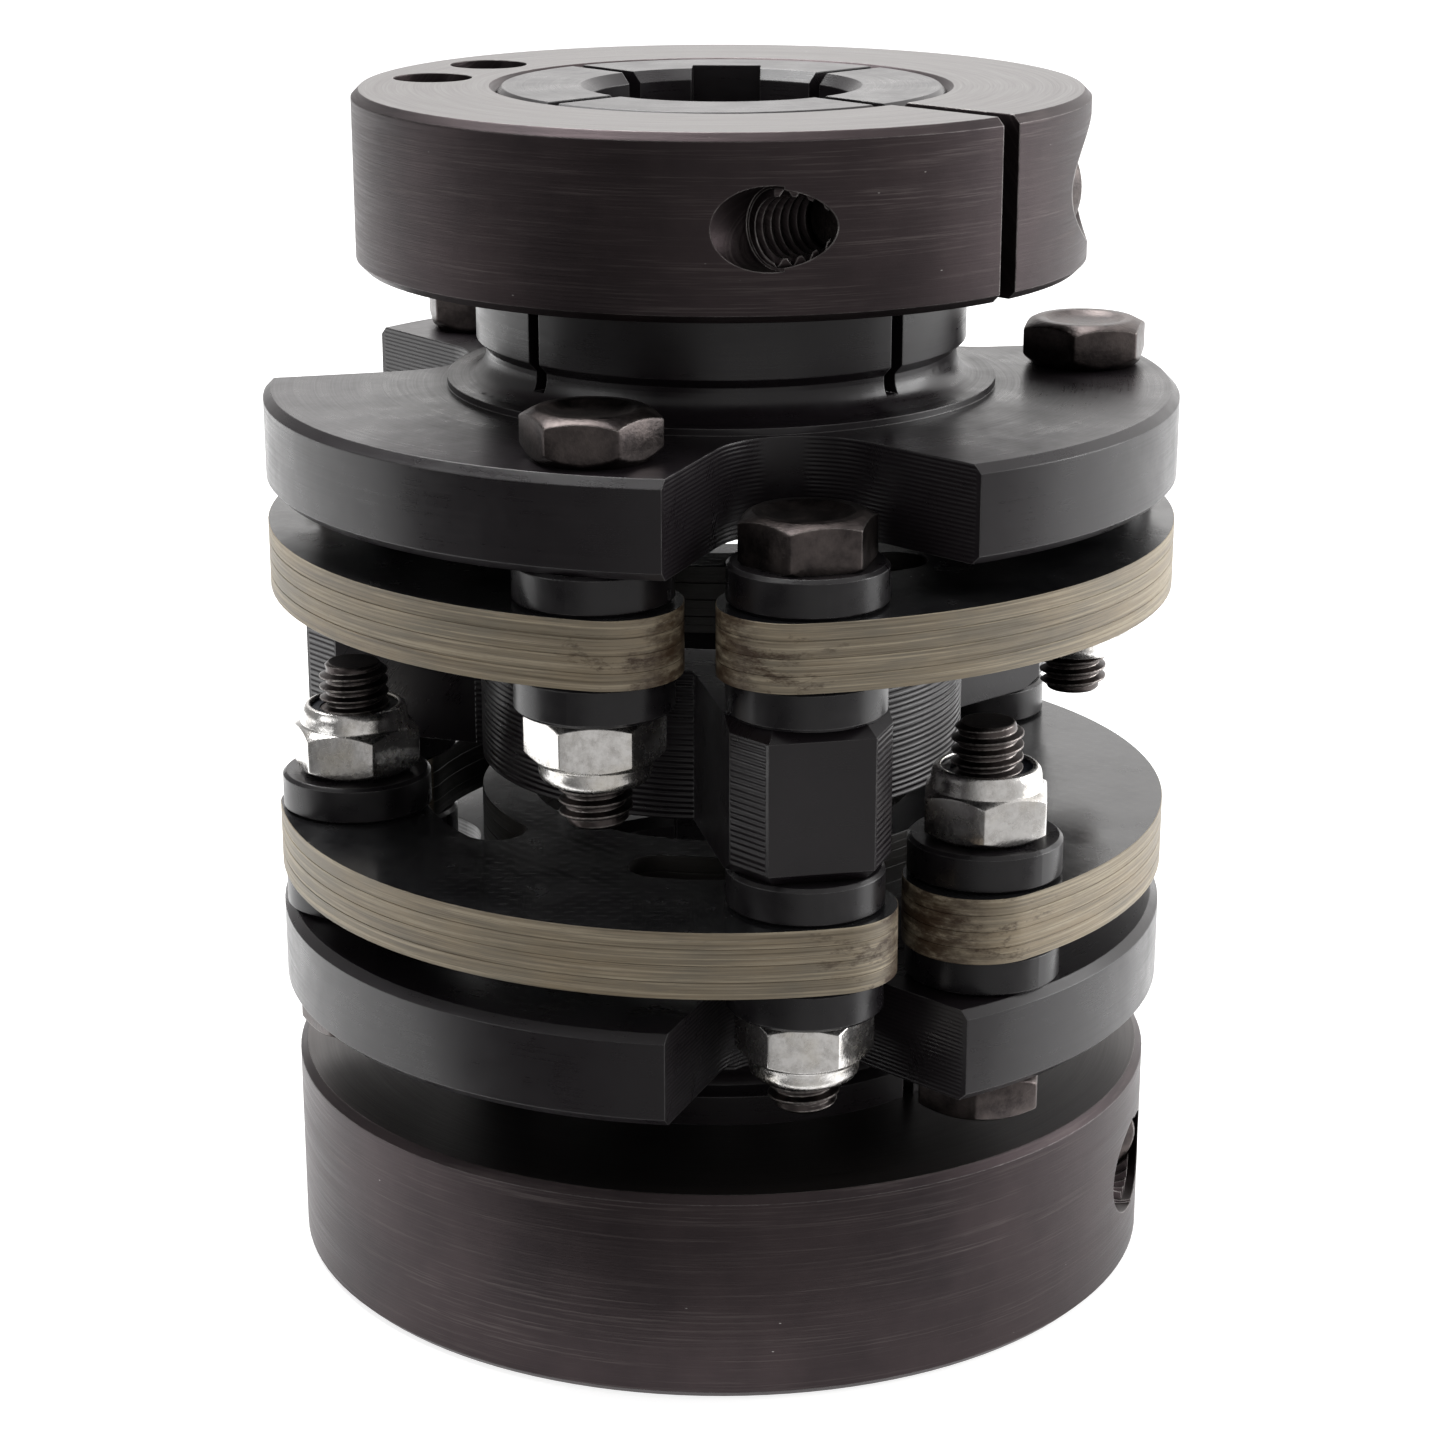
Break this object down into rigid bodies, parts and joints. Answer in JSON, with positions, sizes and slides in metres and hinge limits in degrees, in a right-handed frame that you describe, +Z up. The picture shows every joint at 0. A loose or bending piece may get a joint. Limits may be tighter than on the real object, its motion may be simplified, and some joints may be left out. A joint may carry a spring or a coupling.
{
  "type": "double-flex disc coupling",
  "caption": "Shaft coupling with keyed clamp hubs, laminated composite disc packs and a bolted armed centre member; the packs bend to take up misaligned shafts.",
  "frame": {"origin": "on the coupling's axis at the bottom face of the lower clamp ring", "axes": "+Z up along the shafts, from the larger lower hub to the smaller upper hub; -Y is the front, a little left of the first centre arm"},
  "size_m": [0.079, 0.079, 0.1036],
  "materials": {
    "anodised_aluminium": "satin black anodised, turned and milled",
    "ring_steel": "brown-black oxide, turned",
    "bolt_steel": "brown-black oxide, worn edges",
    "spacer_steel": "black oxide, turned",
    "composite_disc": "glossy black faces, tan fibre edges",
    "zinc_nut": "bright zinc plate",
    "nylon": "dark nylon"
  },
  "bodies": {
    "lower_hub_set": {"lower_hub": "anodised_aluminium", "lower_hub_bolt_1": "bolt_steel", "lower_hub_bolt_2": "bolt_steel", "lower_hub_bolt_3": "bolt_steel", "lower_hub_nut_1": "zinc_nut", "lower_hub_nut_2": "zinc_nut", "lower_hub_nut_3": "zinc_nut", "lower_hub_spacers": "spacer_steel", "lower_nut_washers": "spacer_steel", "lower_nut_inserts": "nylon"},
    "lower_ring_set": {"lower_clamp_ring": "ring_steel"},
    "lower_screw_set": {"lower_clamp_screw": "bolt_steel"},
    "lower_pack": {"lower_disc_1": "composite_disc", "lower_disc_2": "composite_disc", "lower_disc_3": "composite_disc", "lower_disc_4": "composite_disc"},
    "centre_set": {"centre_member": "anodised_aluminium", "centre_bolt_1": "bolt_steel", "centre_bolt_2": "bolt_steel", "centre_bolt_3": "bolt_steel", "centre_nut_1": "zinc_nut", "centre_nut_2": "zinc_nut", "centre_nut_3": "zinc_nut", "centre_head_washers": "spacer_steel", "upper_centre_spacers": "spacer_steel", "lower_centre_spacers": "spacer_steel", "centre_nut_washers": "spacer_steel", "centre_nut_inserts": "nylon"},
    "upper_pack": {"upper_disc_1": "composite_disc", "upper_disc_2": "composite_disc", "upper_disc_3": "composite_disc", "upper_disc_4": "composite_disc"},
    "upper_hub_set": {"upper_hub": "anodised_aluminium", "upper_hub_bolt_1": "bolt_steel", "upper_hub_bolt_2": "bolt_steel", "upper_hub_bolt_3": "bolt_steel", "upper_hub_nut_1": "zinc_nut", "upper_hub_nut_2": "zinc_nut", "upper_hub_nut_3": "zinc_nut", "upper_hub_spacers": "spacer_steel", "upper_nut_washers": "spacer_steel", "upper_nut_inserts": "nylon"},
    "upper_ring_set": {"upper_clamp_ring": "ring_steel"},
    "upper_screw_set": {"upper_clamp_screw": "bolt_steel"}
  },
  "joints": [
    {"name": "lower_flex_x", "type": "hinge", "parent": "lower_hub_set", "child": "lower_pack", "pos_m": [0, 0, 0.03915], "axis": [1, 0, 0], "range_deg": [-1.5, 1.5], "stiffness_Nm_per_rad": 60, "deforming": ["lower_disc_1", "lower_disc_2", "lower_disc_3", "lower_disc_4"]},
    {"name": "lower_flex_y", "type": "hinge", "parent": "lower_pack", "child": "centre_set", "pos_m": [0, 0, 0.03915], "axis": [0, 1, 0], "range_deg": [-1.5, 1.5], "stiffness_Nm_per_rad": 60, "deforming": ["lower_disc_1", "lower_disc_2", "lower_disc_3", "lower_disc_4"]},
    {"name": "upper_flex_x", "type": "hinge", "parent": "centre_set", "child": "upper_pack", "pos_m": [0, 0, 0.06445], "axis": [1, 0, 0], "range_deg": [-1.5, 1.5], "stiffness_Nm_per_rad": 60, "deforming": ["upper_disc_1", "upper_disc_2", "upper_disc_3", "upper_disc_4"]},
    {"name": "upper_flex_y", "type": "hinge", "parent": "upper_pack", "child": "upper_hub_set", "pos_m": [0, 0, 0.06445], "axis": [0, 1, 0], "range_deg": [-1.5, 1.5], "stiffness_Nm_per_rad": 60, "deforming": ["upper_disc_1", "upper_disc_2", "upper_disc_3", "upper_disc_4"]},
    {"name": "lower_ring_turn", "type": "hinge", "parent": "lower_hub_set", "child": "lower_ring_set", "pos_m": [0, 0, 0.00925], "axis": [0, 0, 1], "continuous": true},
    {"name": "upper_ring_turn", "type": "hinge", "parent": "upper_hub_set", "child": "upper_ring_set", "pos_m": [0, 0, 0.0963], "axis": [0, 0, 1], "continuous": true},
    {"name": "lower_screw_turn", "type": "hinge", "parent": "lower_ring_set", "child": "lower_screw_set", "pos_m": [0.02772, 0.01148, 0.00925], "axis": [-0.3827, 0.9239, 0], "range_deg": [0, 720]},
    {"name": "upper_screw_turn", "type": "hinge", "parent": "upper_ring_set", "child": "upper_screw_set", "pos_m": [0.01746, -0.01617, 0.0963], "axis": [0.6794, 0.7337, 0], "range_deg": [0, 720]}
  ]
}
